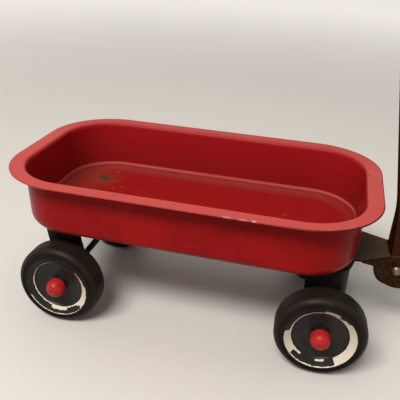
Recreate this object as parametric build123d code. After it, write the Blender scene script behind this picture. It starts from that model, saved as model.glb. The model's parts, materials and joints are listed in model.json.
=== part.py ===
from build123d import *
import os
from math import atan2, cos, radians, sin, sqrt, tan

# A small pressed-steel toy wagon with a pull handle, in millimetres.
# X points forward to the handle, Y to the wagon's left, Z up from the ground.
# The working frame is centred under the tray and has the front truck straight ahead; the
# export turns the truck and handle to their resting angle, a little to the left, and moves the
# origin to the middle of the whole wagon's footprint.

# Tray: one pressed sheet with a flat rim that ends in the sheet's own edge
sheet = 1.2
tray_length = 320
tray_width = 183.7
rim_corner = 60.5
rim_width = 14.2
rim_height = 142.4
tray_depth = 52.7
rim_edge_round = 0.4
wall_bend = 4
floor_bend = 9
wall_draft = 2.5

# Wheels and axles
wheel_radius = 38
wheel_width = 26
wheel_track = 134
rear_overhang = 53
front_overhang = 39
axle_radius = 3
axle_overlap = 5
running_gap = 0.05
side_gap = 0.3
bush_wall = 2
hub_radius = 7
hub_recess = 3.4
hub_proud = 0.4
web_thickness = 12
web_radius = 14
ring_inner = 23.4
ring_outer = 29.2
ring_slope = 4.1
ring_step = 1.2
ring_thickness = 4.5
seat_depth = 2.7
tyre_gap = 0.05
face_inset = 0.5
ridge_width = 1.2
ridge_reach = 3.2
shoulder = 7
groove_count = 5
groove_pitch = 3.3
groove_width = 1.1
groove_depth = 0.9
cap_radius = 8.4
cap_wall = 3
cap_stand_out = 7.9
cap_dimple = 3.4
cap_dimple_depth = 1
washer_radius = 7
washer_thickness = 1.5

# Brackets that carry the axles
bracket_sheet = 1.8
bracket_bend = 3
leg_end_radius = 16.5
rear_bracket_length = 32
rear_bracket_lean = 6
rear_leg_ahead = 4
steering_length = 35
steering_lead = 0.5
steering_front_bend = 9
steering_return = 12
steering_leg_round = 15
steer_angle = 4

# Straps that brace the rear axle against the floor
brace_sheet = 1.5
brace_width = 4.6
brace_eye = 6.5
brace_run = 37
brace_foot = 12

# Turntable and kingpin
turntable_thickness = 2
turntable_rear = 50
turntable_front = 12
turntable_width = 50
turntable_corner = 12
kingpin_radius = 3
kingpin_head = 6.5
kingpin_washer_radius = 8
kingpin_washer_thickness = 1.2
nut_flats = 10
nut_height = 5
thread_show = 2

# Tongue with the two ears that hold the handle
tongue_sheet = 1.8
tongue_rear = 16
tongue_shoulder = 29
tongue_half_width = 27
tongue_neck = 53
ear_half_width = 15
ear_ahead = 3.4
ear_above = 7.7
ear_radius = 24.5
gusset_start = 23
pivot_ahead = 61
pivot_drop = 14.1
pivot_radius = 3
pivot_head = 4.6
pivot_head_height = 2.6

# Handle: a pressed channel with a bent-rod grip
handle_sheet = 1.5
handle_base_half = 12.7
handle_half = 10
handle_base_depth = 13
handle_depth = 13
handle_knee_rise = 51.7
handle_knee_radius = 140
handle_front_radius = 70
handle_lean = 9.7
handle_waist_rise = 25
handle_waist_top_rise = 51
handle_reach = 150
grip_rod = 3.2
grip_leg = 5
grip_seat = 20
grip_neck = 8
grip_flare = 24
grip_side = 25
grip_half_width = 24
grip_bend = 9
rod_gap = 0.1

# Rivets
rivet_radius = 2
rivet_head = 4
rivet_head_height = 1.1
small_rivet_radius = 1.4
small_rivet_head = 2.6
small_rivet_head_height = 0.9
rear_rivet_side = 36
front_rivet_side = 15.3
front_rivet_rear = 41.3
front_rivet_front = 5
tongue_rivet_side = 18
tongue_rivet_ahead = 8
grip_rivet_low = 5
grip_rivet_high = 14

# Places worked out from the sizes above
floor_under = rim_height - tray_depth
floor_top = floor_under + sheet
rear_axle_x = rear_overhang - tray_length / 2
front_axle_x = tray_length / 2 - front_overhang
hub_inner_end = wheel_track / 2 - wheel_width / 2 - hub_proud
leg_outer = hub_inner_end - side_gap - washer_thickness
axle_z = wheel_radius
bracket_top = floor_under - turntable_thickness - side_gap
tongue_top = bracket_top - bracket_sheet
tongue_under = tongue_top - tongue_sheet
pivot_x = front_axle_x + pivot_ahead
pivot_height = tongue_top - pivot_drop
ear_x = pivot_x + ear_ahead
ear_z = pivot_height + ear_above
ear_front = ear_x + ear_radius
handle_knee = pivot_height + handle_knee_rise
handle_waist = pivot_height + handle_waist_rise
handle_waist_top = pivot_height + handle_waist_top_rise
steer_cos = cos(radians(steer_angle))
steer_sin = sin(radians(steer_angle))
wagon_front = front_axle_x + (ear_front - front_axle_x) * steer_cos + ear_half_width * steer_sin
wagon_rear = -tray_length / 2
origin_x = (wagon_front + wagon_rear) / 2
sides = {"left": 1, "right": -1}


def outline(*points):
    """A flat shape through corner points, facing up whichever way round they are listed."""
    shape = Polygon(*points)
    return shape if shape.face().normal_at().Z > 0 else Polygon(*reversed(points))


def between_y(sketch, low, high):
    """A side-view sketch (X, Z) made into a plate between two values of Y."""
    return Pos(0, high, 0) * extrude(Plane.XZ * sketch, high - low)


def between_z(sketch, low, high):
    """A plan sketch (X, Y) made into a plate between two heights."""
    return Pos(0, 0, low) * extrude(sketch, high - low)


def upright_pin(radius, x, y, low, high):
    """A round pin along Z."""
    return between_z(Pos(x, y) * Circle(radius), low, high)


def cross_pin(radius, x, z, low, high):
    """A round pin along Y."""
    return between_y(Pos(x, z) * Circle(radius), low, high)


def rounded_at(sketch, point, radius):
    """Rounds the corner of a flat sketch that lies nearest to a point."""
    corner = sketch.vertices().sort_by_distance(Vector(*point))[0]
    return fillet(corner, radius)


def mirrored_pair(solid):
    """A left piece and its right-hand twin."""
    return solid + mirror(solid, about=Plane.XZ)


def dome(radius, height):
    """A shallow dome that sits on Z = 0."""
    ball = (radius * radius + height * height) / (2 * height)
    cap = Pos(0, 0, height - ball) * Sphere(ball)
    return cap & Pos(0, 0, height / 2) * Cylinder(radius, height)


def flush_rivet(shank, head, head_height, grip_length):
    """A rivet domed below Z = 0 and flush on top, at its grip length."""
    body = Pos(0, 0, grip_length / 2) * Cylinder(shank, grip_length)
    return body + mirror(dome(head, head_height), about=Plane.XY)


def domed_rivet(shank, head, head_height, grip_length):
    """A rivet domed at both ends of a grip that starts at Z = 0."""
    body = flush_rivet(shank, head, head_height, grip_length)
    return body + Pos(0, 0, grip_length) * dome(head, head_height)


def countersink(x, gap):
    """The cone of a flush bolt head that fills the floor and the turntable plate."""
    depth = sheet + turntable_thickness
    cone = Cone(kingpin_radius + gap, kingpin_head + gap, depth)
    return Pos(x, 0, floor_top - depth / 2) * cone


def hex_nut(bore, height):
    """A plain hexagon nut that stands on Z = 0."""
    corner_radius = nut_flats / sqrt(3)
    block = extrude(RegularPolygon(corner_radius, 6), height)
    return block - Pos(0, 0, height / 2) * Cylinder(bore, height)


def fastener_hole(radius, x, y, low, high):
    """A clearance hole for an upright fastener, cut past both faces."""
    return upright_pin(radius + running_gap, x, y, low - sheet, high + sheet)


def rear_rivet_places():
    """Two rivets hold the rear bracket to the floor."""
    x = rear_axle_x - rear_bracket_lean
    return [(x, rear_rivet_side), (x, -rear_rivet_side)]


def brace_rivet_places():
    """One rivet through each brace foot."""
    x = rear_axle_x + brace_run
    y = leg_outer - bracket_sheet - brace_sheet / 2 - brace_foot / 2
    return [(x, y), (x, -y)]


def turntable_rivet_places():
    """Four rivets hold the turntable plate to the floor."""
    lengthwise = (front_axle_x - front_rivet_rear, front_axle_x + front_rivet_front)
    return [(x, y) for x in lengthwise for y in (front_rivet_side, -front_rivet_side)]


def tongue_rivet_places():
    """Two rivets hold the tongue under the steering bracket."""
    x = front_axle_x + tongue_rivet_ahead
    return [(x, tongue_rivet_side), (x, -tongue_rivet_side)]


def tray_section():
    """The pressed sheet cut across: inward from the rim edge, and up."""
    lean = (tray_depth - sheet) * tan(radians(wall_draft))
    floor_start = rim_width + lean + floor_bend + sheet
    under_rim = rim_height - sheet
    wall_out = rim_width - sheet
    points = [
        (0, under_rim),
        (0, rim_height),
        (rim_width, rim_height),
        (rim_width + lean, floor_top),
        (floor_start, floor_top),
        (floor_start, floor_under),
        (wall_out + lean, floor_under),
        (wall_out, under_rim),
    ]
    section = outline(*points)
    bends = [
        (points[0], rim_edge_round),
        (points[1], rim_edge_round),
        (points[2], wall_bend),
        (points[3], floor_bend),
        (points[6], floor_bend + sheet),
        (points[7], wall_bend - sheet),
    ]
    for point, radius in bends:
        section = rounded_at(section, point, radius)
    return section, floor_start


def make_tray():
    """The section carried around a rounded rectangle, closed by a flat floor."""
    section, floor_start = tray_section()
    half_length = tray_length / 2
    half_width = tray_width / 2
    long_half = half_length - rim_corner
    short_half = half_width - rim_corner
    side_plane = Plane(origin=(0, -half_width, 0), x_dir=(0, 1, 0), z_dir=(1, 0, 0))
    turn_plane = Plane(origin=(long_half, -half_width, 0), x_dir=(0, 1, 0), z_dir=(1, 0, 0))
    end_plane = Plane(origin=(half_length, -short_half, 0), x_dir=(-1, 0, 0), z_dir=(0, 1, 0))
    corner_axis = Axis((long_half, -short_half, 0), (0, 0, 1))
    quarter = extrude(side_plane * section, long_half)
    quarter += revolve(turn_plane * section, corner_axis, 90)
    quarter += extrude(end_plane * section, short_half)
    half = quarter + mirror(quarter, about=Plane.YZ)
    floor_sketch = RectangleRounded(
        tray_length - 2 * floor_start, tray_width - 2 * floor_start, rim_corner - floor_start
    )
    tray = mirrored_pair(half) + between_z(floor_sketch, floor_under, floor_top)
    for x, y in rear_rivet_places() + brace_rivet_places() + turntable_rivet_places():
        tray -= fastener_hole(rivet_radius, x, y, floor_under, floor_top)
    return tray - countersink(front_axle_x, running_gap)


def make_rear_bracket():
    """A U of sheet steel under the floor, its legs leaning forward to the axle."""
    top_x = rear_axle_x - rear_bracket_lean
    top_edge = Line(
        (top_x - rear_bracket_length / 2, floor_under), (top_x + rear_bracket_length / 2, floor_under)
    )
    eye = Pos(rear_axle_x + rear_leg_ahead, axle_z) * Circle(leg_end_radius)
    side_view = make_hull(top_edge.edges() + eye.edges())
    low = axle_z - leg_end_radius
    outer = Pos(0, 0, (low + floor_under) / 2) * Box(tray_length, 2 * leg_outer, floor_under - low)
    outer = fillet(outer.edges().filter_by(Axis.X).group_by(Axis.Z)[-1], bracket_bend)
    inner_height = floor_under - bracket_sheet - low
    inner = Pos(0, 0, low + inner_height / 2) * Box(
        tray_length, 2 * (leg_outer - bracket_sheet), inner_height
    )
    inner = fillet(inner.edges().filter_by(Axis.X).group_by(Axis.Z)[-1], bracket_bend - bracket_sheet)
    bracket = (outer - inner) & between_y(side_view, -leg_outer, leg_outer)
    bracket -= cross_pin(axle_radius + running_gap, rear_axle_x, axle_z, -tray_width, tray_width)
    for x, y in rear_rivet_places():
        bracket -= fastener_hole(rivet_radius, x, y, floor_under - bracket_sheet, floor_under)
    return bracket


def make_rear_brace():
    """The left strap: an eye on the axle, a slanting bar and a foot under the floor."""
    outer = leg_outer - bracket_sheet
    inner = outer - brace_sheet
    top_x = rear_axle_x + brace_run
    low_end = Pos(rear_axle_x, axle_z) * Circle(brace_width / 2)
    high_end = Pos(top_x, floor_under) * Circle(brace_width / 2)
    bar = make_hull(low_end.edges() + high_end.edges()) + Pos(rear_axle_x, axle_z) * Circle(brace_eye)
    under_floor = Pos(rear_axle_x, floor_under / 2) * Rectangle(tray_length, floor_under)
    strap = between_y(bar & under_floor, inner, outer)
    foot_sketch = Pos(top_x, inner - brace_foot / 2) * Rectangle(brace_foot, brace_foot)
    foot = between_z(foot_sketch, floor_under - brace_sheet, floor_under)
    foot_root = Pos(top_x, inner + brace_sheet / 2) * Rectangle(brace_foot, brace_sheet)
    brace = strap + foot + between_z(foot_root, floor_under - brace_sheet, floor_under)
    brace -= cross_pin(axle_radius + running_gap, rear_axle_x, axle_z, 0, tray_width)
    for x, y in brace_rivet_places():
        brace -= fastener_hole(rivet_radius, x, y, floor_under - brace_sheet, floor_under)
    return brace


def make_turntable_plate():
    """The wear plate between the floor and the steering bracket."""
    middle = front_axle_x + (turntable_front - turntable_rear) / 2
    plan = Pos(middle, 0) * RectangleRounded(
        turntable_rear + turntable_front, turntable_width, turntable_corner
    )
    plate = between_z(plan, floor_under - turntable_thickness, floor_under)
    for x, y in turntable_rivet_places():
        plate -= fastener_hole(rivet_radius, x, y, floor_under - turntable_thickness, floor_under)
    return plate - countersink(front_axle_x, running_gap)


def make_steering_bracket():
    """A U that turns on the kingpin, with its front edges bent inward."""
    low = axle_z - leg_end_radius
    middle = front_axle_x + steering_lead
    front = middle + steering_length / 2
    rear = middle - steering_length / 2
    height = bracket_top - low
    plan = Pos(middle, 0) * Rectangle(steering_length, 2 * leg_outer)
    block = between_z(plan, low, bracket_top)
    block = fillet(block.edges().filter_by(Axis.Z).group_by(Axis.X)[-1], steering_front_bend)
    inside = Pos(middle - bracket_sheet, 0) * Rectangle(steering_length, 2 * (leg_outer - bracket_sheet))
    hollow = between_z(inside, low, bracket_top - bracket_sheet)
    hollow = fillet(
        hollow.edges().filter_by(Axis.Z).group_by(Axis.X)[-1], steering_front_bend - bracket_sheet
    )
    window_half = leg_outer - steering_return
    window = Pos(front, 0, low + (height - bracket_sheet) / 2) * Box(
        steering_length, 2 * window_half, height - bracket_sheet
    )
    side_view = Pos(middle, (low + bracket_top) / 2) * Rectangle(steering_length, height)
    side_view = rounded_at(side_view, (rear, low), steering_leg_round)
    side_view = rounded_at(side_view, (front, low), steering_leg_round)
    bracket = (block - hollow - window) & between_y(side_view, -leg_outer, leg_outer)
    bracket -= cross_pin(axle_radius + running_gap, front_axle_x, axle_z, -tray_width, tray_width)
    for x, y in tongue_rivet_places():
        bracket -= fastener_hole(small_rivet_radius, x, y, tongue_top, bracket_top)
    return bracket - fastener_hole(kingpin_radius, front_axle_x, 0, tongue_top, bracket_top)


def make_tongue():
    """A tapered plate whose turned-down sides end in two round ears."""
    rear = front_axle_x - tongue_rear
    shoulder_x = front_axle_x + tongue_shoulder
    neck_x = front_axle_x + tongue_neck
    ear_inner = ear_half_width - tongue_sheet
    neck_turn = atan2(tongue_half_width - ear_half_width, tongue_neck - tongue_shoulder)
    fold_shift = tongue_sheet * tan(neck_turn / 2)
    plate_front = pivot_x - handle_base_depth / 2 - side_gap
    plan = outline(
        (rear, -tongue_half_width),
        (shoulder_x, -tongue_half_width),
        (neck_x, -ear_half_width),
        (neck_x, ear_half_width),
        (shoulder_x, tongue_half_width),
        (rear, tongue_half_width),
    )
    ahead = Pos(plate_front + tongue_neck, 0) * Rectangle(2 * tongue_neck, 2 * ear_inner)
    plate = between_z(plan - ahead, tongue_under, tongue_top)
    wall = outline(
        (shoulder_x, tongue_half_width),
        (neck_x, ear_half_width),
        (ear_front, ear_half_width),
        (ear_front, ear_inner),
        (neck_x - fold_shift, ear_inner),
        (shoulder_x, tongue_half_width - tongue_sheet),
    )
    below = tongue_top - ear_z + ear_radius
    ear_round = Pos(ear_x, ear_z) * Circle(ear_radius)
    gusset = outline(
        (front_axle_x + gusset_start, tongue_top),
        (ear_x, ear_z - ear_radius / 2),
        (ear_x, tongue_top),
    )
    under_top = Pos(ear_x, tongue_top - below / 2) * Rectangle(4 * ear_radius, below)
    side_view = (ear_round + gusset) & under_top
    walls = mirrored_pair(between_z(wall, tongue_top - below, tongue_top))
    tongue = plate + (walls & between_y(side_view, -tongue_half_width, tongue_half_width))
    tongue -= cross_pin(pivot_radius + running_gap, pivot_x, pivot_height, -tray_width, tray_width)
    for x, y in tongue_rivet_places():
        tongue -= fastener_hole(small_rivet_radius, x, y, tongue_under, tongue_top)
    return tongue - fastener_hole(kingpin_radius, front_axle_x, 0, tongue_under, tongue_top)


def shaft_direction():
    """The way the upper handle points, in side view."""
    return Vector(-sin(radians(handle_lean)), cos(radians(handle_lean)))


def shaft_rear_point(distance):
    """A point on the rear edge of the leaning shaft, measured from the knee."""
    knee = Vector(pivot_x - handle_base_depth / 2, handle_knee)
    return knee + shaft_direction() * distance


def handle_side_view(inset, rear_reach):
    """The channel from the side: its front edge set back, its rear edge moved out."""
    along = shaft_direction()
    across = Vector(along.Y, -along.X)
    rear = pivot_x - handle_base_depth / 2 - rear_reach
    knee = shaft_rear_point(0) - across * rear_reach
    top = shaft_rear_point(handle_reach + rear_reach) - across * rear_reach
    front_knee = shaft_rear_point(0) + across * (handle_depth - inset)
    front_top = shaft_rear_point(handle_reach + rear_reach) + across * (handle_depth - inset)
    front = pivot_x + handle_base_depth / 2 - inset
    profile = outline(
        (rear, pivot_height),
        (knee.X, knee.Y),
        (top.X, top.Y),
        (front_top.X, front_top.Y),
        (front_knee.X, front_knee.Y),
        (front, pivot_height),
    )
    profile = rounded_at(profile, (knee.X, knee.Y), handle_knee_radius)
    profile = rounded_at(profile, (front_knee.X, front_knee.Y), handle_front_radius)
    eye = Pos(pivot_x, pivot_height) * Circle(handle_base_depth / 2 - inset)
    return profile + eye


def handle_front_view(inset):
    """The channel seen from the front: wide cheeks that draw in above the pivot."""
    low = pivot_height - handle_base_depth
    high = shaft_rear_point(handle_reach).Y + handle_depth
    base = handle_base_half - inset
    upper = handle_half - inset
    return outline(
        (-base, low),
        (base, low),
        (base, handle_waist),
        (upper, handle_waist_top),
        (upper, high),
        (-upper, high),
        (-upper, handle_waist_top),
        (-base, handle_waist),
    )


def make_handle_shaft():
    """A pressed channel, open toward the wagon, pivoted between the ears."""
    half_span = tray_width / 2
    outer = between_y(handle_side_view(0, 0), -half_span, half_span)
    outer &= extrude(Plane.YZ * handle_front_view(0), tray_length)
    hollow = between_y(handle_side_view(handle_sheet, handle_depth), -half_span, half_span)
    hollow &= extrude(Plane.YZ * handle_front_view(handle_sheet), tray_length)
    web_end = pivot_height + handle_base_depth / 2
    foot_gap = Pos(pivot_x, 0, web_end - handle_base_depth) * Box(
        2 * handle_base_depth, 2 * (handle_base_half - handle_sheet), 2 * handle_base_depth
    )
    shaft = outer - hollow - foot_gap
    shaft -= cross_pin(pivot_radius + running_gap, pivot_x, pivot_height, -half_span, half_span)
    for place in grip_rivet_places():
        shaft -= cross_pin(small_rivet_radius + running_gap, place.X, place.Y, -half_span, half_span)
    return shaft


def grip_plane():
    """The plane of the grip loop: across the wagon and along the leaning shaft."""
    along = shaft_direction()
    across = Vector(along.Y, -along.X)
    seat = shaft_rear_point(handle_reach - grip_seat)
    seat += across * (handle_depth - handle_sheet - grip_rod - rod_gap)
    return Plane(origin=(seat.X, 0, seat.Y), x_dir=(0, 1, 0), z_dir=(across.X, 0, across.Y))


def grip_rivet_places():
    """The two cross rivets that hold the grip's legs, in side view."""
    seat = grip_plane().origin
    along = shaft_direction()
    return [Vector(seat.X, seat.Z) + along * distance for distance in (grip_rivet_low, grip_rivet_high)]


def make_handle_grip():
    """A bent rod: two legs in the channel that open into a loop for the hand."""
    flare_start = grip_seat + grip_neck
    flare_end = flare_start + grip_flare
    top = flare_end + grip_side
    route = [
        (-grip_leg, 0),
        (-grip_leg, flare_start),
        (-grip_half_width, flare_end),
        (-grip_half_width, top),
        (grip_half_width, top),
        (grip_half_width, flare_end),
        (grip_leg, flare_start),
        (grip_leg, 0),
    ]
    plane = grip_plane()
    path = plane * FilletPolyline(*route, radius=grip_bend)
    start = Plane(origin=path @ 0, z_dir=path % 0)
    grip = sweep(start * Circle(grip_rod), path=path)
    for place in grip_rivet_places():
        grip -= cross_pin(small_rivet_radius + running_gap, place.X, place.Y, -tray_width, tray_width)
    return grip


def make_grip_rivets():
    """Two small rivets across the channel and both legs of the grip."""
    lay_down = Rot(-90, 0, 0) * domed_rivet(
        small_rivet_radius, small_rivet_head, small_rivet_head_height, 2 * handle_half
    )
    return [Pos(place.X, -handle_half, place.Y) * lay_down for place in grip_rivet_places()]


def make_tyre():
    """The left tyre, turned about Y, with ribs around the tread and a ridge on each side."""
    half = wheel_width / 2
    side = half - face_inset
    seat = ring_outer - seat_depth + tyre_gap
    lip = ring_outer + tyre_gap
    flange_in = side - ring_thickness - tyre_gap
    half_section = outline(
        (seat, -flange_in),
        (lip, -flange_in),
        (lip, -side),
        (wheel_radius, -side),
        (wheel_radius, side),
        (lip, side),
        (lip, flange_in),
        (seat, flange_in),
    )
    for place in ((wheel_radius, side), (wheel_radius, -side)):
        half_section = rounded_at(half_section, place, shoulder)
    ridge_middle = ring_outer + ridge_reach
    half_section += Pos(ridge_middle, 0) * Rectangle(ridge_width, wheel_width)
    for step in range(groove_count):
        place = (step - (groove_count - 1) / 2) * groove_pitch
        half_section -= Pos(wheel_radius, place) * Rectangle(2 * groove_depth, groove_width)
    return revolve(half_section, Axis.Y)


def make_wheel_disc():
    """The left wheel disc: hub, hollowed web and the sloping ring that holds the tyre."""
    half = wheel_width / 2
    side = half - face_inset
    seat = ring_outer - seat_depth
    bore = axle_radius + running_gap + bush_wall + tyre_gap
    ring_low = side - ring_slope
    ring_foot = ring_low - ring_step
    web_edge = ring_inner - ring_step
    hub_out = half - hub_recess
    hub_in = wheel_track / 2 - hub_inner_end
    web_side = web_thickness / 2
    upper = outline(
        (bore, 0),
        (bore, hub_out),
        (hub_radius, hub_out),
        (hub_radius, web_side),
        ((hub_radius + web_edge) / 2, web_side),
        (web_edge, ring_foot),
        (ring_inner, ring_low),
        (ring_outer, side),
        (ring_outer, side - ring_thickness),
        (seat, side - ring_thickness),
        (seat, 0),
    )
    upper = rounded_at(upper, ((hub_radius + web_edge) / 2, web_side), web_radius)
    lower = mirror(upper, about=Plane.XZ)
    hub_tail = Pos((bore + hub_radius) / 2, -hub_in / 2) * Rectangle(hub_radius - bore, hub_in)
    return revolve(upper + lower + hub_tail, Axis.Y)


def make_wheel_bush():
    """The left bush, pressed into the hub and running on the axle."""
    bore = axle_radius + running_gap
    hub_out = wheel_width / 2 - hub_recess
    hub_in = wheel_track / 2 - hub_inner_end
    section = Pos(bore + bush_wall / 2, (hub_out - hub_in) / 2) * Rectangle(bush_wall, hub_out + hub_in)
    return revolve(section, Axis.Y)


def make_hub_cap():
    """The left cap: a tall dome pushed on the axle's end, with a dimple in its middle."""
    base = wheel_width / 2 - hub_recess + side_gap
    height = wheel_width / 2 + cap_stand_out - base
    cap = Pos(0, 0, cap_wall / 2) * Cylinder(cap_radius, cap_wall)
    cap += Pos(0, 0, cap_wall) * dome(cap_radius, height - cap_wall)
    cap -= Pos(0, 0, height + cap_dimple - cap_dimple_depth) * Sphere(cap_dimple)
    socket_depth = axle_overlap + running_gap
    cap -= Pos(0, 0, socket_depth / 2) * Cylinder(axle_radius + running_gap, socket_depth)
    return Pos(0, base, 0) * (Rot(-90, 0, 0) * cap)


def make_axle(x):
    """A plain steel axle whose ends sit in the hub caps."""
    reach = wheel_track / 2 + wheel_width / 2 - hub_recess + side_gap + axle_overlap
    return cross_pin(axle_radius, x, axle_z, -reach, reach)


def make_axle_washers(x):
    """A washer between each bracket leg and its wheel."""
    ring = Circle(washer_radius) - Circle(axle_radius + running_gap)
    washer = between_y(Pos(x, axle_z) * ring, leg_outer, leg_outer + washer_thickness)
    return [washer, mirror(washer, about=Plane.XZ)]


def make_kingpin_bolt():
    """A flush bolt through the floor, the turntable, the bracket and the tongue."""
    washer_under = tongue_under - side_gap - kingpin_washer_thickness
    low = washer_under - nut_height - thread_show
    shank = upright_pin(kingpin_radius, front_axle_x, 0, low, floor_top)
    return shank + countersink(front_axle_x, 0)


def make_kingpin_washer():
    """The washer under the tongue."""
    ring = Circle(kingpin_washer_radius) - Circle(kingpin_radius + running_gap)
    high = tongue_under - side_gap
    return between_z(Pos(front_axle_x, 0) * ring, high - kingpin_washer_thickness, high)


def make_kingpin_nut():
    """The nut that keeps the truck on the kingpin."""
    low = tongue_under - side_gap - kingpin_washer_thickness - nut_height
    return Pos(front_axle_x, 0, low) * hex_nut(kingpin_radius + running_gap, nut_height)


def make_pivot_bolt():
    """The handle's pivot: a domed head on the right ear and a shank across both."""
    end = ear_half_width + nut_height + thread_show
    shank = cross_pin(pivot_radius, pivot_x, pivot_height, -ear_half_width, end)
    head = Rot(90, 0, 0) * dome(pivot_head, pivot_head_height)
    return shank + Pos(pivot_x, -ear_half_width, pivot_height) * head


def make_pivot_nut():
    """The nut on the left ear."""
    nut = Rot(-90, 0, 0) * hex_nut(pivot_radius + running_gap, nut_height)
    return Pos(pivot_x, ear_half_width, pivot_height) * nut


def floor_rivets(places, low):
    """Floor rivets, flush inside the tray and domed under what they hold."""
    body = flush_rivet(rivet_radius, rivet_head, rivet_head_height, floor_top - low)
    return [Pos(x, y, low) * body for x, y in places]


def make_turntable_rivets():
    """Rivets flush inside the tray and under the plate that the bracket turns on."""
    low = floor_under - turntable_thickness
    return [upright_pin(rivet_radius, x, y, low, floor_top) for x, y in turntable_rivet_places()]


def make_tongue_rivets():
    """Rivets domed under the tongue and flush on the bracket's top face."""
    length = bracket_top - tongue_under
    body = flush_rivet(small_rivet_radius, small_rivet_head, small_rivet_head_height, length)
    return [Pos(x, y, tongue_under) * body for x, y in tongue_rivet_places()]


def on_axle(solid, x, side):
    """A left wheel piece set on an axle, mirrored for the right."""
    piece = solid if side > 0 else mirror(solid, about=Plane.XZ)
    return Pos(x, side * wheel_track / 2, axle_z) * piece


def save(name, solids, turn=0):
    """Turns a piece or a group about the kingpin, moves it to the wagon's origin and writes it."""
    group = solids if isinstance(solids, list) else [solids]
    place = Pos(front_axle_x - origin_x, 0, 0) * Rot(0, 0, turn) * Pos(-front_axle_x, 0, 0)
    placed = [place * solid for solid in group]
    shape = placed[0] if len(placed) == 1 else Compound(children=placed)
    export_step(shape, f"parts/{name}.step")


os.makedirs("parts", exist_ok=True)
brace = make_rear_brace()
save("tray", make_tray())
save("rear_axle_bracket", make_rear_bracket())
save("rear_bracket_rivets", floor_rivets(rear_rivet_places(), floor_under - bracket_sheet))
save("rear_brace_left", brace)
save("rear_brace_right", mirror(brace, about=Plane.XZ))
save("brace_rivets", floor_rivets(brace_rivet_places(), floor_under - brace_sheet))
save("rear_axle", make_axle(rear_axle_x))
save("rear_axle_washers", make_axle_washers(rear_axle_x))
save("turntable_plate", make_turntable_plate())
save("turntable_rivets", make_turntable_rivets())
save("kingpin_bolt", make_kingpin_bolt())
save("kingpin_washer", make_kingpin_washer())
save("kingpin_nut", make_kingpin_nut())
save("steering_bracket", make_steering_bracket(), steer_angle)
save("tongue", make_tongue(), steer_angle)
save("tongue_rivets", make_tongue_rivets(), steer_angle)
save("front_axle", make_axle(front_axle_x), steer_angle)
save("front_axle_washers", make_axle_washers(front_axle_x), steer_angle)
save("handle_pivot_bolt", make_pivot_bolt(), steer_angle)
save("handle_pivot_nut", make_pivot_nut(), steer_angle)
save("handle_shaft", make_handle_shaft(), steer_angle)
save("handle_grip", make_handle_grip(), steer_angle)
save("grip_rivets", make_grip_rivets(), steer_angle)
wheel_pieces = {
    "tyre": make_tyre(),
    "wheel_disc": make_wheel_disc(),
    "wheel_bush": make_wheel_bush(),
    "hub_cap": make_hub_cap(),
}
for end, axle_x, turn in (("rear", rear_axle_x, 0), ("front", front_axle_x, steer_angle)):
    for side_name, side in sides.items():
        for piece_name, solid in wheel_pieces.items():
            save(f"{piece_name}_{end}_{side_name}", on_axle(solid, axle_x, side), turn)
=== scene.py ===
import json
from math import cos, radians, sin

import bpy
from mathutils import Matrix, Vector


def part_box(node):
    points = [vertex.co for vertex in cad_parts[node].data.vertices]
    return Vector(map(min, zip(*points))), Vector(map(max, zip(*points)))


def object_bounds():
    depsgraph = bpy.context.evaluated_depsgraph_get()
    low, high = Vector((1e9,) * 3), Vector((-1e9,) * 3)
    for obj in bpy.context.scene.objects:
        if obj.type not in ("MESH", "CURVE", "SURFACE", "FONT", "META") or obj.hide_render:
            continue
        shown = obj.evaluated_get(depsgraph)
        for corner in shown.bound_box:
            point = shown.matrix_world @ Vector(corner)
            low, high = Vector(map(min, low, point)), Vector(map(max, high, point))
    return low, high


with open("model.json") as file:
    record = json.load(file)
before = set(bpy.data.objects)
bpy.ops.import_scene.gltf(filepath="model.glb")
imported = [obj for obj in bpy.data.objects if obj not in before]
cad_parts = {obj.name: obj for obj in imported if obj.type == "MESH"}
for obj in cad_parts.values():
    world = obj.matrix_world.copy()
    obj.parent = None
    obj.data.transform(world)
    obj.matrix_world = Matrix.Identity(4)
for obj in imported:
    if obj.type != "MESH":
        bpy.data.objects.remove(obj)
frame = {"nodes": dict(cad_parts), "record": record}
cad_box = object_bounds()

# A small red toy wagon: worn enamel, black wheels with flaking white rings, dark brackets.
# Places are in metres in the wagon's own frame; the materials work in millimetres.

MM = 0.001
RECORD = frame["record"]
JOINTS = {joint["name"]: joint for joint in RECORD["behaviour"]["joints"]}
TRAY_LOW, TRAY_HIGH = (Vector(corner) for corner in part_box("tray"))
TRAY_MIDDLE = (TRAY_LOW + TRAY_HIGH) / 2
TRAY_MIDDLE_MM = (TRAY_MIDDLE.x / MM, TRAY_MIDDLE.y / MM, 0)
TRAY_HALF_MM = (TRAY_HIGH - TRAY_LOW) / 2 / MM
GROUND = cad_box[0][2]
RIM_TOP_MM = TRAY_HIGH.z / MM
BED_TOP_MM = RECORD["mounts"][0]["pos_m"][2] / MM
RIM_CORNER_MM = 60.5
RIM_WIDTH_MM = 14.2
FLOOR_BEND_MM = 9
BEND_TOP_MM = BED_TOP_MM + FLOOR_BEND_MM
WALL_FOOT_MM = -RIM_WIDTH_MM - FLOOR_BEND_MM
TREAD_MM = 36
RING_INNER_MM = 23.4
RING_OUTER_MM = 29.2

# Sockets of the colour mix
MIX_FIRST = 6
MIX_SECOND = 7
MIX_RESULT = 2

# Camera of the photograph, measured from the middle of the tray on the ground
CAMERA_PLACE_MM = (109.44, -439.24, 331.35)
CAMERA_YAW = 0.2381
CAMERA_PITCH = 0.4624
CAMERA_ROLL = 0.0434
CAMERA_LENS = 49.23
CAMERA_SENSOR = 36
CAMERA_NEAREST = 0.01

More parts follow.
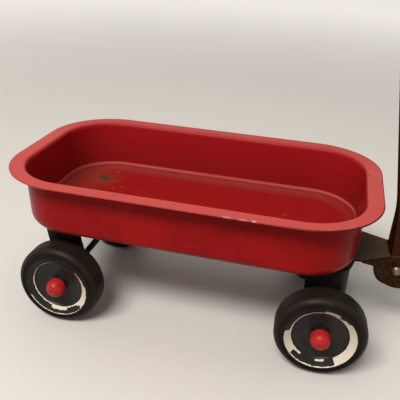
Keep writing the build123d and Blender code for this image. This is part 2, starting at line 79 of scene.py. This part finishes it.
# Colours, linear
RED = (0.37, 0.0085, 0.0085, 1)
RED_DARK = (0.30, 0.006, 0.007, 1)
RED_BED = (0.28, 0.0085, 0.0085, 1)
RED_WALL_LOW = (0.248, 0.0100, 0.0125, 1)
RED_WALL_HIGH = (0.355, 0.0105, 0.0145, 1)
RED_MARGIN = (0.235, 0.0205, 0.0170, 1)
# Painted highlight: a pale line along the top of the floor's bend
BEND_HIGHLIGHT_RED = (0.56, 0.105, 0.100, 1)
# Painted sheen: the pale pink of the rim's top
RIM_SHEEN_RED = (0.575, 0.076, 0.066, 1)
RED_WORN = (0.42, 0.035, 0.03, 1)
RUST_DARK = (0.050, 0.036, 0.016, 1)
RUST_BROWN = (0.17, 0.045, 0.020, 1)
SPOT_PINK = (0.47, 0.11, 0.095, 1)
BARE_METAL = (0.72, 0.56, 0.52, 1)
CHIP_DARK = (0.035, 0.013, 0.010, 1)
BLACK = (0.008, 0.008, 0.009, 1)
BLACK_DUSTY = (0.020, 0.018, 0.015, 1)
# Dust and painted sheen: the olive top of the tongue, lighter than its black paint
TOP_SHEEN_OLIVE = (0.095, 0.055, 0.019, 1)
TOP_SHEEN_DUST = (0.115, 0.068, 0.026, 1)
BROWN_BLACK = (0.020, 0.004, 0.0015, 1)
BROWN_GRIME = (0.034, 0.010, 0.004, 1)
BROWN_SPOT = (0.066, 0.034, 0.012, 1)
# Painted reflection: the handle's black paint given the brown of a warm reflection, with some grime
HANDLE_BROWN_REFLECTION = (0.035, 0.0087, 0.0022, 1)
HANDLE_GRIME_AND_REFLECTION = (0.057, 0.0195, 0.0052, 1)
# Tyre colours: their brown tint is a painted warm reflection, and the tread's colour is dust and
# painted sheen
TYRE_BLACK = (0.0060, 0.0040, 0.0030, 1)
TYRE_GREY = (0.011, 0.0078, 0.0058, 1)
TREAD_DUST_AND_SHEEN = (0.022, 0.0155, 0.0105, 1)
DISH_BLACK = (0.013, 0.0115, 0.0108, 1)
DISH_GREY = (0.022, 0.0200, 0.0190, 1)
RING_WHITE = (0.80, 0.71, 0.59, 1)
RING_STAIN = (0.55, 0.43, 0.31, 1)
CAP_RED = (0.49, 0.024, 0.022, 1)
CAP_RED_DARK = (0.40, 0.017, 0.016, 1)
STEEL = (0.254, 0.166, 0.104, 1)
STEEL_DARK = (0.17, 0.14, 0.11, 1)
NYLON = (0.50, 0.47, 0.40, 1)
FLOOR = (0.80, 0.768, 0.72, 1)
FLOOR_BOUNCE = (0.30, 0.25, 0.20, 1)

FLOOR_SHADE = (0.776, 0.74496, 0.6984, 1)
WORLD = (0.90, 0.87, 0.83, 1)

# The floor's far part and the world show about as pale as the lit floor near the wagon
FLOOR_SIZE = 30
FLOOR_CLOUD_MM = 600
FLOOR_FADE_MM = (600, 2600)
FLOOR_FAR_GLOW = 0.62
WORLD_LIGHT = 0.30
WORLD_SEEN = 0.72

# Lamps: place from the tray's middle on the ground in metres, width, depth, power and colour
LAMP_TARGET = (0, 0, 0.1)
LAMPS = {
    "key": ((-0.4, -1.40, 1.95), 1.2, 0.6, 49, (1.0, 0.97, 0.93)),
    "top": ((0, 0.3, 2.0), 1.2, 1.2, 5, (1.0, 0.98, 0.95)),
}

# White paint that is left on each wheel's ring: start and end angle in degrees, counted from
# straight ahead over the top, then inner and outer radius in millimetres
RING_PAINT = {
    "front_right": [
        (-58, 41, 23.4, 29.2),
        (36, 52, 23.4, 27.0),
        (46, 68, 23.4, 25.2),
        (62, 88, 23.4, 28.2),
        (80, 178, 23.3, 24.9),
        (173, 219, 23.4, 29.2),
        (214, 236, 23.4, 25.0),
        (213, 304, 28.5, 29.4),
        (267, 285, 23.6, 24.9),
    ],
    "rear_right": [
        (-38, 12, 23.4, 29.0),
        (8, 26, 23.4, 26.8),
        (22, 44, 23.4, 25.4),
        (-72, -34, 23.3, 24.3),
        (-46, -30, 23.4, 26.0),
        (252, 288, 23.4, 26.2),
        (166, 254, 23.2, 24.2),
        (96, 172, 23.2, 23.8),
        (206, 322, 28.7, 29.4),
    ],
    "front_left": [
        (-20, 75, 23.4, 29.2),
        (70, 150, 23.2, 24.4),
        (140, 205, 23.4, 28.4),
        (200, 330, 28.6, 29.4),
    ],
    "rear_left": [
        (80, 178, 23.4, 29.2),
        (20, 84, 23.3, 24.6),
        (250, 295, 23.4, 27.4),
        (170, 262, 28.6, 29.4),
    ],
}
PAINT_ROUND_MM = 1.4
PAINT_BLEND_MM = 0.7
PAINT_RAGGED_MM = 1.9

# Marks on the tray, in millimetres from its middle: place, reach
RUST_PATCH = ((-113.4, 47.6), 13)
DUST_PATCH = ((-126, 40), 24)
SMALL_SPOTS = [
    ((-104.9, 65.7), 2.6),
    ((-94.9, 27.4), 1.8),
    ((-87.3, 32.4), 1.9),
    ((79.8, 25.8), 1.9),
]
RIM_SCUFFS = [((-46.3, -84.7), 1.6), ((148, 25.2), 2.4)]

# Thin streaks: place, direction in degrees, half of the length and of the width, share
EDGE_CHIPS = [
    ((45.7, -91.5), 0, 3.6, 0.34, 0.42),
    ((57.5, -91.5), 0, 3.0, 0.34, 0.48),
    ((66.0, -91.4), 0, 1.7, 0.40, 0.85),
]
BED_SCRATCH = ((-100.6, 41.6), 52, 4.8, 0.45, 0.45)

AHEAD = (1, 0, 0)
LEFT = (0, 1, 0)
UP = (0, 0, 1)
FLAT = (1, 1, 0)


class Graph:
    """Builds one material's nodes, with positions in millimetres."""

    def __init__(self, name):
        self.material = bpy.data.materials.new(name)
        self.material.use_nodes = True
        self.tree = self.material.node_tree
        self.shader = self.tree.nodes["Principled BSDF"]
        place = self.tree.nodes.new("ShaderNodeTexCoord").outputs["Object"]
        self.place = self.vector("SCALE", place, scale=1 / MM)

    def put(self, socket, value):
        """Sets a socket to a plain value or links it to another socket."""
        if isinstance(value, bpy.types.NodeSocket):
            self.tree.links.new(value, socket)
        else:
            socket.default_value = value

    def math(self, operation, first, second=0.0, third=0.0):
        """One arithmetic step."""
        node = self.tree.nodes.new("ShaderNodeMath")
        node.operation = operation
        for socket, value in zip(node.inputs, (first, second, third)):
            self.put(socket, value)
        return node.outputs[0]

    def plus(self, first, second):
        """The sum of two values."""
        return self.math("ADD", first, second)

    def minus(self, first, second):
        """One value less another."""
        return self.math("SUBTRACT", first, second)

    def times(self, first, *others):
        """The product of several values."""
        for other in others:
            first = self.math("MULTIPLY", first, other)
        return first

    def larger(self, first, second):
        """The larger of two values."""
        return self.math("MAXIMUM", first, second)

    def size(self, value):
        """A value without its sign."""
        return self.math("ABSOLUTE", value)

    def diagonal(self, first, second):
        """How far apart two places are that differ by these two steps."""
        return self.math("SQRT", self.plus(self.times(first, first), self.times(second, second)))

    def vector(self, operation, first, second=None, scale=None, out="Vector"):
        """One step of vector arithmetic."""
        node = self.tree.nodes.new("ShaderNodeVectorMath")
        node.operation = operation
        self.put(node.inputs[0], first)
        if second is not None:
            self.put(node.inputs[1], second)
        if scale is not None:
            self.put(node.inputs["Scale"], scale)
        return node.outputs[out]

    def dot(self, place, direction):
        """How far a place lies along a direction."""
        return self.vector("DOT_PRODUCT", place, direction, out="Value")

    def flat_length(self, vector):
        """A vector's length as seen from above."""
        return self.vector("LENGTH", self.vector("MULTIPLY", vector, FLAT), out="Value")

    def facing(self):
        """Which way the surface looks."""
        return self.tree.nodes.new("ShaderNodeNewGeometry").outputs["Normal"]

    def noise(self, size, detail=4.0, roughness=0.55, stretch=None):
        """Cloudy values from 0 to 1 whose features are about a size in millimetres."""
        node = self.tree.nodes.new("ShaderNodeTexNoise")
        place = self.place
        if stretch is not None:
            place = self.vector("MULTIPLY", place, stretch)
        self.put(node.inputs["Vector"], place)
        node.inputs["Scale"].default_value = 1 / size
        node.inputs["Detail"].default_value = detail
        node.inputs["Roughness"].default_value = roughness
        return node.outputs["Fac"]

    def ramp(self, value, low, high):
        """A smooth step from 0 at low to 1 at high."""
        node = self.tree.nodes.new("ShaderNodeMapRange")
        node.interpolation_type = "SMOOTHSTEP"
        self.put(node.inputs["Value"], value)
        node.inputs["From Min"].default_value = low
        node.inputs["From Max"].default_value = high
        return node.outputs["Result"]

    def between(self, value, low, high):
        """Maps 0 to 1 onto a range."""
        node = self.tree.nodes.new("ShaderNodeMapRange")
        self.put(node.inputs["Value"], value)
        node.inputs["To Min"].default_value = low
        node.inputs["To Max"].default_value = high
        return node.outputs["Result"]

    def mix(self, share, first, second):
        """A blend of two colours."""
        node = self.tree.nodes.new("ShaderNodeMix")
        node.data_type = "RGBA"
        self.put(node.inputs[0], share)
        self.put(node.inputs[MIX_FIRST], first)
        self.put(node.inputs[MIX_SECOND], second)
        return node.outputs[MIX_RESULT]

    def finish(self, colour, roughness, height=None, bump=0.2, reach=0.4, **constants):
        """Connects colour, roughness and bump, and sets what is the same all over."""
        self.put(self.shader.inputs["Base Color"], colour)
        self.put(self.shader.inputs["Roughness"], roughness)
        for name, value in constants.items():
            self.shader.inputs[name.replace("_", " ")].default_value = value
        if height is not None:
            node = self.tree.nodes.new("ShaderNodeBump")
            node.inputs["Strength"].default_value = bump
            node.inputs["Distance"].default_value = reach * MM
            self.put(node.inputs["Height"], height)
            self.put(self.shader.inputs["Normal"], node.outputs["Normal"])
        return self.material


class TrayEnamel(Graph):
    """The tray's red enamel with a fine orange peel, to be lined, worn and marked."""

    def __init__(self, name):
        super().__init__(name)
        self.cloud = self.noise(42, detail=3)
        self.fine = self.noise(1.6, detail=2)
        self.speck = self.noise(5.5, detail=6, roughness=0.7)
        self.scuff = self.noise(9, detail=5, roughness=0.65, stretch=(0.16, 1, 1))
        self.from_middle = self.vector("SUBTRACT", self.place, TRAY_MIDDLE_MM)
        self.height_up = self.dot(self.place, UP)
        self.edge = self.rim_distance()
        self.inside = self.inside_share()
        self.rim_high = self.ramp(self.height_up, RIM_TOP_MM - 2.6, RIM_TOP_MM - 0.9)
        scuffed = self.times(self.ramp(self.scuff, 0.58, 0.72), 0.12)
        self.colour = self.mix(self.ramp(self.cloud, 0.30, 0.72), RED_DARK, RED)
        self.cover(scuffed, RED_WORN)
        self.roughness = self.between(self.cloud, 0.22, 0.34)
        self.roughen(scuffed, 0.5)
        self.relief = self.times(self.fine, 0.10)

    def cover(self, share, colour):
        """Lays a colour over part of the paint."""
        self.colour = self.mix(share, self.colour, colour)

    def roughen(self, share, amount):
        """Makes part of the paint duller."""
        self.roughness = self.plus(self.roughness, self.times(share, amount))

    def rim_distance(self):
        """Millimetres outward from the rim's outer edge, from the tray's own outline."""
        corner = RIM_CORNER_MM
        straight = (TRAY_HALF_MM.x - corner, TRAY_HALF_MM.y - corner, 0)
        beyond = self.vector("SUBTRACT", self.vector("ABSOLUTE", self.from_middle), straight)
        beyond = self.vector("MAXIMUM", beyond, (0, 0, 0))
        return self.minus(self.flat_length(beyond), corner)

    def inside_share(self):
        """1 on the tray's inner faces and 0 on its outer ones, from which way they look."""
        outward = self.vector("NORMALIZE", self.vector("MULTIPLY", self.from_middle, FLAT))
        outward = self.vector("SUBTRACT", outward, (0, 0, 0.6))
        return self.ramp(self.dot(self.facing(), outward), 0.2, -0.2)

    def near(self, centre, reach, soft, wobble=None):
        """A round mask about a centre, seen from above, its edge moved by a wobble."""
        distance = self.flat_length(self.vector("SUBTRACT", self.from_middle, (*centre, 0)))
        if wobble is not None:
            distance = self.plus(distance, wobble)
        return self.ramp(distance, reach + soft, reach - soft)

    def streak(self, centre, turn, half_length, half_width):
        """A thin straight mark, seen from above."""
        offset = self.vector("SUBTRACT", self.from_middle, (*centre, 0))
        along = self.dot(offset, (cos(radians(turn)), sin(radians(turn)), 0))
        across = self.dot(offset, (-sin(radians(turn)), cos(radians(turn)), 0))
        length = self.ramp(self.size(along), half_length * 1.3, half_length * 0.5)
        width = self.ramp(self.size(across), half_width * 1.4, half_width * 0.6)
        return self.times(length, width)

    def line_inside(self):
        """Darker red on the inner faces, darker towards the foot of the walls, with a painted
        highlight along the top of the floor's bend and a duller, greyer band below it.
        """
        rise = self.ramp(self.height_up, BEND_TOP_MM, RIM_TOP_MM)
        level = self.ramp(self.dot(self.facing(), UP), 0.3, 0.9)
        lining = self.mix(level, self.mix(rise, RED_WALL_LOW, RED_WALL_HIGH), RED_BED)
        self.cover(self.times(self.inside, 0.8), lining)
        below = self.ramp(self.height_up, BEND_TOP_MM, BEND_TOP_MM - 1.2)
        below = self.times(below, self.inside)
        margin = self.times(below, self.ramp(self.edge, WALL_FOOT_MM - 5, WALL_FOOT_MM + 3))
        self.cover(self.times(margin, self.between(self.cloud, 0.6, 0.9)), RED_MARGIN)
        self.roughen(margin, 0.25)
        # Painted highlight: a pale line along the top of the floor's bend, standing in for the
        # reflection there
        bend_highlight = self.times(below, self.ramp(self.height_up, BEND_TOP_MM - 3.8, BEND_TOP_MM - 2.4))
        self.cover(self.times(bend_highlight, self.between(self.scuff, 0.6, 1.1)), BEND_HIGHLIGHT_RED)

    def wear_rim(self):
        """Painted sheen on the rim's top, made weaker on the left side as painted shade, with chips
        and a dark edge in front.
        """
        on_rim = self.ramp(self.edge, -RIM_WIDTH_MM + 0.4, -RIM_WIDTH_MM + 2.0)
        # Painted sheen on the rim's top, made weaker on the left side as painted shade
        left_side = self.ramp(self.dot(self.place, LEFT), 20, 75)
        rim_sheen = self.times(self.rim_high, on_rim, self.between(self.noise(16), 0.8, 1.0))
        self.cover(self.times(rim_sheen, self.between(left_side, 1.0, 0.62)), RIM_SHEEN_RED)
        ahead = self.ramp(self.dot(self.from_middle, AHEAD), 70, 130)
        limit = self.minus(0.68, self.times(ahead, 0.10))
        chip = self.ramp(self.minus(self.speck, limit), 0.0, 0.02)
        chip = self.times(chip, self.ramp(self.edge, -1.9, -0.4))
        ragged = self.plus(self.edge, self.times(self.minus(self.speck, 0.5), 3.0))
        worn_edge = self.times(self.ramp(ragged, -1.2, -0.6), self.between(ahead, 0.1, 0.95))
        dark = self.larger(chip, worn_edge)
        for place, reach in RIM_SCUFFS:
            wobble = self.between(self.fine, -0.6, 0.6)
            scrape = self.near(place, reach * 0.6, reach * 0.4, wobble)
            dark = self.larger(dark, self.times(scrape, 0.75))
        self.cover(self.times(dark, self.rim_high), CHIP_DARK)
        self.relief = self.minus(self.relief, self.times(chip, 0.6))
        for *line, share in EDGE_CHIPS:
            self.cover(self.times(self.streak(*line), self.rim_high, share), BARE_METAL)

    def mark_bed(self):
        """Dust, rust, pale spots and one scratch on the tray's floor."""
        low = self.ramp(self.height_up, BED_TOP_MM + 4, BED_TOP_MM + 1)
        wobble = self.times(self.minus(self.speck, 0.5), 24)
        place, reach = DUST_PATCH
        dust = self.near(place, reach, 16, wobble)
        dust = self.times(dust, self.ramp(self.height_up, BED_TOP_MM + 14, BED_TOP_MM + 4))
        self.cover(self.times(dust, 0.35), RUST_BROWN)
        place, reach = RUST_PATCH
        halo = self.times(self.near(place, reach, 9, self.times(wobble, 0.5)), low)
        core = self.times(self.near(place, reach * 0.4, 4.5, self.times(wobble, 0.7)), low)
        self.cover(self.times(halo, 0.40), RUST_BROWN)
        self.cover(self.times(core, 0.9), RUST_DARK)
        self.roughen(halo, 0.35)
        self.relief = self.plus(self.relief, self.times(halo, self.speck, 0.8))
        for place, reach in SMALL_SPOTS:
            spot = self.times(self.near(place, reach * 0.6, reach * 0.5), low)
            self.cover(self.times(spot, 0.55), SPOT_PINK)
            self.relief = self.plus(self.relief, self.times(spot, 1.2))
        *line, share = BED_SCRATCH
        self.cover(self.times(self.streak(*line), low, share), SPOT_PINK)


def enamel_red(name):
    """Red enamel, worn along the rim and rusty on the bed."""
    paint = TrayEnamel(name)
    paint.line_inside()
    paint.wear_rim()
    paint.mark_bed()
    return paint.finish(
        paint.colour, paint.roughness, paint.relief, bump=0.35, reach=0.5, Specular_IOR_Level=0.07
    )


def enamel_black(name, dark, dust, grime, share, gloss):
    """Black enamel with dust in broad clouds and a little rub-through."""
    graph = Graph(name)
    cloud = graph.noise(18)
    fine = graph.noise(1.2, detail=3)
    rub = graph.noise(4, detail=6, roughness=0.7)
    colour = graph.mix(graph.ramp(cloud, 0.35, 0.75), dark, dust)
    colour = graph.mix(graph.times(graph.ramp(rub, 0.60, 0.74), share), colour, grime)
    roughness = graph.between(cloud, 0.32, 0.55)
    height = graph.plus(graph.times(fine, 0.35), graph.times(rub, 0.25))
    return graph.finish(colour, roughness, height, bump=0.25, reach=0.3, Specular_IOR_Level=gloss)


def worn_tongue(name):
    """Black enamel with dust and a painted olive sheen on top, and mottled brown on its sides."""
    graph = Graph(name)
    cloud = graph.noise(18)
    fine = graph.noise(1.2, detail=3)
    mottle = graph.noise(3.4, detail=5, roughness=0.62)
    # The top's olive is dust and a painted warm reflection
    top = graph.mix(graph.ramp(cloud, 0.35, 0.75), TOP_SHEEN_OLIVE, TOP_SHEEN_DUST)
    side = graph.mix(graph.ramp(mottle, 0.36, 0.72), BROWN_BLACK, BROWN_SPOT)
    level = graph.ramp(graph.dot(graph.facing(), UP), 0.5, 0.9)
    colour = graph.mix(level, side, top)
    roughness = graph.between(mottle, 0.34, 0.56)
    height = graph.plus(graph.times(fine, 0.3), graph.times(mottle, 0.4))
    return graph.finish(colour, roughness, height, bump=0.25, reach=0.3, Specular_IOR_Level=0.05)


def steel(name, light, dark, rough):
    """Bare steel with fine scratches and dull spots."""
    graph = Graph(name)
    scratch = graph.noise(0.7, detail=5, roughness=0.7, stretch=(1, 0.12, 1))
    spot = graph.noise(3)
    colour = graph.mix(graph.ramp(spot, 0.45, 0.75), light, dark)
    roughness = graph.between(scratch, rough, rough + 0.22)
    return graph.finish(colour, roughness, scratch, bump=0.15, reach=0.1, Metallic=0.9)


def plastic(name, light, dark, low, high):
    """Moulded plastic with a faint grain and handling marks."""
    graph = Graph(name)
    cloud = graph.noise(7)
    grain = graph.noise(0.6, detail=2)
    colour = graph.mix(graph.ramp(cloud, 0.3, 0.7), dark, light)
    roughness = graph.between(cloud, low, high)
    return graph.finish(colour, roughness, grain, bump=0.12, reach=0.12, Specular_IOR_Level=0.18)


def from_axle(graph, joint):
    """A place seen from a wheel's middle: its offset, then ahead and up in the wheel's plane."""
    offset = graph.vector("SUBTRACT", graph.place, tuple(Vector(joint["pos_m"]) / MM))
    forward = graph.dot(offset, tuple(Vector(joint["axis"]).cross(Vector(UP))))
    return offset, forward, graph.dot(offset, UP)


def tyre_rubber(corner, joint):
    """Black tyre with its brown tint as a painted warm reflection: brown dust and painted sheen on
    the tread, duller bands and a fine moulded grain.
    """
    graph = Graph(f"tyre_rubber_{corner}")
    cloud = graph.noise(14)
    grain = graph.noise(0.8, detail=3)
    scuff = graph.noise(3, detail=6, roughness=0.7)
    _, forward, upward = from_axle(graph, joint)
    radius = graph.diagonal(forward, upward)
    colour = graph.mix(graph.ramp(cloud, 0.35, 0.75), TYRE_BLACK, TYRE_GREY)
    colour = graph.mix(graph.times(graph.ramp(scuff, 0.62, 0.75), 0.4), colour, BLACK_DUSTY)
    # The tread is lighter from dust and a painted sheen
    tread = graph.ramp(radius, TREAD_MM - 3, TREAD_MM + 1)
    colour = graph.mix(graph.times(tread, graph.between(cloud, 0.5, 1.0)), colour, TREAD_DUST_AND_SHEEN)
    roughness = graph.between(cloud, 0.36, 0.52)
    height = graph.plus(graph.times(grain, 0.4), graph.times(scuff, 0.3))
    return graph.finish(colour, roughness, height, bump=0.2, reach=0.2, Specular_IOR_Level=0.12)


def patch_distance(graph, radius, angle, start, end, inner, outer):
    """How far a place lies outside one rounded patch of paint, in millimetres."""
    middle = (inner + outer) / 2
    corner = min(PAINT_ROUND_MM, (outer - inner) / 2)
    half_turn = radians((end - start) / 2) * middle - corner
    half_width = (outer - inner) / 2 - corner
    turn = graph.minus(angle, radians((start + end) / 2))
    turn = graph.size(graph.math("WRAP", turn, radians(180), radians(-180)))
    along = graph.minus(graph.times(turn, middle), half_turn)
    across = graph.minus(graph.size(graph.minus(radius, middle)), half_width)
    outside = graph.diagonal(graph.larger(along, 0.0), graph.larger(across, 0.0))
    inside = graph.math("MINIMUM", graph.larger(along, across), 0.0)
    return graph.minus(graph.plus(outside, inside), corner)


def wheel_paint(corner, joint):
    """The black wheel disc with what is left of its white ring."""
    graph = Graph(f"wheel_paint_{corner}")
    offset, forward, upward = from_axle(graph, joint)
    radius = graph.diagonal(forward, upward)
    angle = graph.math("ARCTAN2", upward, forward)
    outward = graph.dot(offset, tuple(joint["axis"]))
    if corner.endswith("right"):
        outward = graph.times(outward, -1.0)
    left = None
    for patch in RING_PAINT[corner]:
        gap = patch_distance(graph, radius, angle, *patch)
        left = gap if left is None else graph.math("SMOOTH_MIN", left, gap, PAINT_BLEND_MM)
    ragged = graph.minus(graph.noise(2.6), 0.5)
    left = graph.plus(left, graph.times(ragged, PAINT_RAGGED_MM))
    ring_middle = (RING_INNER_MM + RING_OUTER_MM) / 2
    ring_half = (RING_OUTER_MM - RING_INNER_MM) / 2
    on_ring = graph.math("COMPARE", radius, ring_middle, ring_half)
    on_face = graph.math("GREATER_THAN", outward, 0.0)
    white = graph.times(graph.ramp(left, 0.10, -0.10), on_face, on_ring)
    cloud = graph.noise(6, detail=5)
    stain = graph.ramp(graph.noise(2.2, detail=6, roughness=0.7), 0.52, 0.75)
    black = graph.mix(graph.ramp(cloud, 0.35, 0.75), DISH_BLACK, DISH_GREY)
    paint = graph.mix(graph.times(stain, 0.55), RING_WHITE, RING_STAIN)
    colour = graph.mix(white, black, paint)
    roughness = graph.between(white, 0.36, 0.48)
    height = graph.plus(graph.times(white, 0.5), graph.times(cloud, 0.2))
    return graph.finish(colour, roughness, height, bump=0.3, reach=0.25, Specular_IOR_Level=0.2)


def paint_nodes():
    """Gives every carried-over piece its own finish."""
    red = enamel_red("red_enamel_worn")
    black = enamel_black("black_enamel", BLACK, BLACK_DUSTY, BROWN_GRIME, 0.25, 0.15)
    tongue = worn_tongue("black_enamel_dust_and_sheen_top")
    # The handle's brown is a painted warm reflection on black paint, with some grime
    handle = enamel_black("black_enamel_brown_reflection", HANDLE_BROWN_REFLECTION, HANDLE_GRIME_AND_REFLECTION, HANDLE_GRIME_AND_REFLECTION, 0.4, 0.06)
    bright = steel("bright_steel", STEEL, STEEL_DARK, 0.24)
    dull = steel("dull_steel", STEEL_DARK, STEEL_DARK, 0.4)
    cap = plastic("cap_plastic", CAP_RED, CAP_RED_DARK, 0.22, 0.40)
    bush = plastic("bush_nylon", NYLON, NYLON, 0.45, 0.6)
    finishes = {
        "tray": red,
        "turntable_rivets": red,
        "rear_bracket_rivets": red,
        "brace_rivets": red,
        "kingpin_bolt": red,
        "rear_axle_bracket": black,
        "rear_brace_left": black,
        "rear_brace_right": black,
        "turntable_plate": black,
        "steering_bracket": black,
        "tongue": tongue,
        "tongue_rivets": tongue,
        "handle_shaft": handle,
        "handle_grip": handle,
        "grip_rivets": handle,
        "rear_axle": dull,
        "front_axle": dull,
        "rear_axle_washers": dull,
        "front_axle_washers": dull,
        "kingpin_washer": dull,
        "kingpin_nut": dull,
        "handle_pivot_bolt": bright,
        "handle_pivot_nut": bright,
    }
    for corner in RING_PAINT:
        joint = JOINTS[f"wheel_{corner}_spin"]
        finishes[f"tyre_{corner}"] = tyre_rubber(corner, joint)
        finishes[f"wheel_disc_{corner}"] = wheel_paint(corner, joint)
        finishes[f"wheel_bush_{corner}"] = bush
        finishes[f"hub_cap_{corner}"] = cap
    for node, material in finishes.items():
        for slot in frame["nodes"][node].material_slots:
            slot.material = material


def seen_directly(tree):
    """1 for what the camera sees, also in a mirror or through glass, and 0 for soft bounces."""
    ray = tree.nodes.new("ShaderNodeLightPath").outputs
    seen = ray["Is Camera Ray"]
    for kind in ("Is Glossy Ray", "Is Transmission Ray"):
        either = tree.nodes.new("ShaderNodeMath")
        either.operation = "MAXIMUM"
        tree.links.new(seen, either.inputs[0])
        tree.links.new(ray[kind], either.inputs[1])
        seen = either.outputs[0]
    return seen


def make_floor():
    """A wide pale floor under the wheels."""
    bpy.ops.mesh.primitive_plane_add(size=FLOOR_SIZE, location=(TRAY_MIDDLE.x, 0, GROUND))
    floor = bpy.context.object
    floor.name = "floor"
    graph = Graph("pale_floor")
    seen = seen_directly(graph.tree)
    pale = graph.mix(graph.noise(FLOOR_CLOUD_MM, detail=3), FLOOR, FLOOR_SHADE)
    away = graph.ramp(graph.flat_length(graph.place), *FLOOR_FADE_MM)
    graph.put(graph.shader.inputs["Emission Color"], FLOOR)
    graph.put(graph.shader.inputs["Emission Strength"], graph.times(seen, away, FLOOR_FAR_GLOW))
    floor.data.materials.append(graph.finish(graph.mix(seen, FLOOR_BOUNCE, pale), 0.55))


def add_lamp(name, offset, width, depth, power, colour):
    """A soft rectangular lamp aimed at the wagon."""
    lamp = bpy.data.lights.new(name, "AREA")
    lamp.shape = "RECTANGLE"
    lamp.size = width
    lamp.size_y = depth
    lamp.energy = power
    lamp.color = colour
    holder = bpy.data.objects.new(name, lamp)
    bpy.context.collection.objects.link(holder)
    holder.location = Vector(offset) + Vector((TRAY_MIDDLE.x, 0, 0))
    aim = Vector(LAMP_TARGET) - Vector(offset)
    holder.rotation_euler = aim.to_track_quat("-Z", "Y").to_euler()


def light_scene():
    """A pale world and soft lamps above and beside the wagon."""
    world = bpy.data.worlds.new("pale_world")
    bpy.context.scene.world = world
    world.use_nodes = True
    tree = world.node_tree
    background = tree.nodes["Background"]
    background.inputs["Color"].default_value = WORLD
    strength = tree.nodes.new("ShaderNodeMapRange")
    strength.inputs["To Min"].default_value = WORLD_LIGHT
    strength.inputs["To Max"].default_value = WORLD_SEEN
    tree.links.new(seen_directly(tree), strength.inputs["Value"])
    tree.links.new(strength.outputs["Result"], background.inputs["Strength"])
    for name, lamp in LAMPS.items():
        add_lamp(name, *lamp)


def make_camera():
    """The photograph's camera."""
    data = bpy.data.cameras.new("camera")
    data.lens = CAMERA_LENS
    data.sensor_width = CAMERA_SENSOR
    data.clip_start = CAMERA_NEAREST
    camera = bpy.data.objects.new("camera", data)
    bpy.context.collection.objects.link(camera)
    turn = Matrix.Rotation(CAMERA_YAW, 4, "Z")
    turn = turn @ Matrix.Rotation(radians(90) - CAMERA_PITCH, 4, "X")
    turn = turn @ Matrix.Rotation(CAMERA_ROLL, 4, "Z")
    place = Vector((TRAY_MIDDLE.x, TRAY_MIDDLE.y, GROUND)) + Vector(CAMERA_PLACE_MM) * MM
    camera.matrix_world = Matrix.Translation(place) @ turn
    bpy.context.scene.camera = camera


paint_nodes()
make_floor()
light_scene()
make_camera()
bpy.context.scene.view_settings.view_transform = "Standard"
